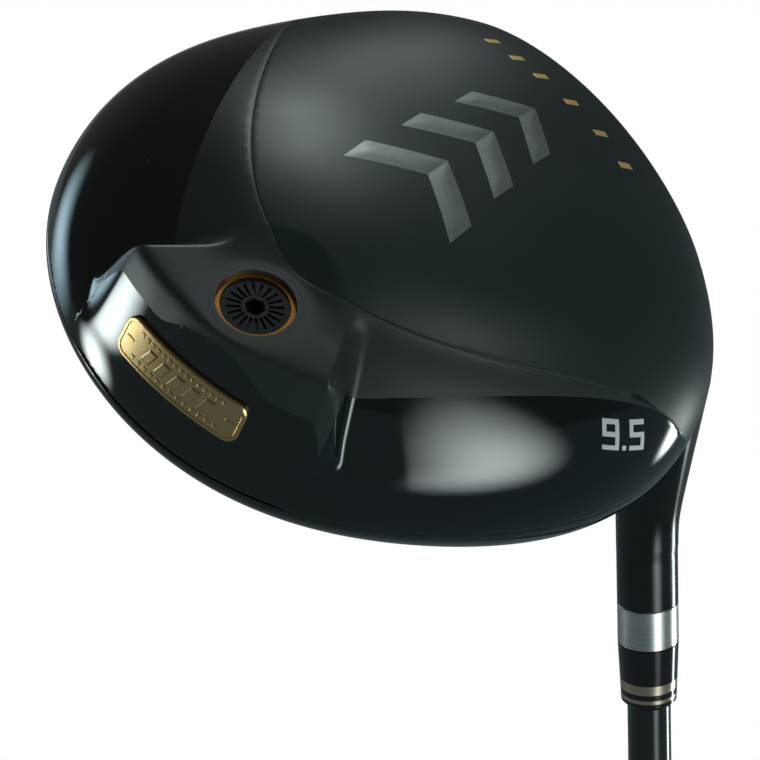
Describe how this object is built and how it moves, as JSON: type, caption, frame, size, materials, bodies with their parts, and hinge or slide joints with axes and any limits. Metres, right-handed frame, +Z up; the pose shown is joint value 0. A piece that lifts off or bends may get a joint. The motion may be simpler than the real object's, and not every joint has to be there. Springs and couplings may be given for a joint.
{
  "type": "golf driver",
  "caption": "Right-handed golf driver: large domed metal head with a scooped sole and screw-in rear weight, bonded tapered shaft and rubber grip.",
  "frame": {"origin": "middle of the grip's butt face, on the shaft's axis", "axes": "+Z up along the shaft to the head, +X towards the toe side of the head, -Y towards the target"},
  "size_m": [0.1085, 0.1149, 1.1733],
  "materials": {
    "face": "satin dark lacquer over forged titanium, bare scored hitting area",
    "gloss_black": "deep gloss blue-black lacquer",
    "satin_grey": "smooth satin grey-green lacquer",
    "keel_grey": "matte brushed dark grey",
    "tape": "plain paper tape",
    "gold": "satin embossed gold plate",
    "raw_titanium": "bare cast titanium",
    "hot_melt": "amber hot-melt glue",
    "port_steel": "blackened steel",
    "copper": "polished copper-orange anodised ring",
    "seal_rubber": "black rubber",
    "screw_black": "black anodised, fluted",
    "tungsten": "sintered tungsten",
    "silver_ring": "brushed silver",
    "ferrule_black": "polished black plastic",
    "champagne": "polished champagne trim",
    "graphite": "gloss black lacquered carbon tube",
    "epoxy": "cured epoxy",
    "plug_brass": "turned brass",
    "grip_rubber": "matte black rubber with fine texture"
  },
  "bodies": {
    "club": {"face_cup": "face", "crown_shell": "gloss_black", "sole_plate": "satin_grey", "keel_plate": "keel_grey", "body_shell": "gloss_black", "badge_tape": "tape", "sole_badge": "gold", "sole_rib_toe": "raw_titanium", "sole_rib_heel": "raw_titanium", "crown_rib": "raw_titanium", "glue_pad": "hot_melt", "port_insert": "port_steel", "hosel_neck": "gloss_black", "hosel_sleeve": "raw_titanium", "hosel_ring": "silver_ring", "ferrule": "ferrule_black", "ferrule_band_wide": "champagne", "ferrule_band_thin": "champagne", "shaft": "graphite", "shaft_glue": "epoxy", "tip_plug": "plug_brass", "grip_tape": "tape", "grip_sleeve": "grip_rubber", "grip_cap": "grip_rubber"},
    "port_ring": {"port_ring": "copper", "port_seal": "seal_rubber"},
    "weight_screw": {"weight_screw": "screw_black", "weight_slug": "tungsten"}
  },
  "joints": [
    {"name": "port_ring_travel", "type": "slide", "parent": "club", "child": "port_ring", "axis": [-0.5069, 0.2425, 0.8272], "range_m": [0, 0.0065]},
    {"name": "weight_screw_turn", "type": "hinge", "parent": "port_ring", "child": "weight_screw", "pos_m": [0.01356, 0.0881, 1.14376], "axis": [-0.5069, 0.2425, 0.8272], "range_deg": [0, 2160]}
  ],
  "couplings": [
    {"joint": "port_ring_travel", "follows": "weight_screw_turn", "m_per_rad": 0.00015915}
  ]
}
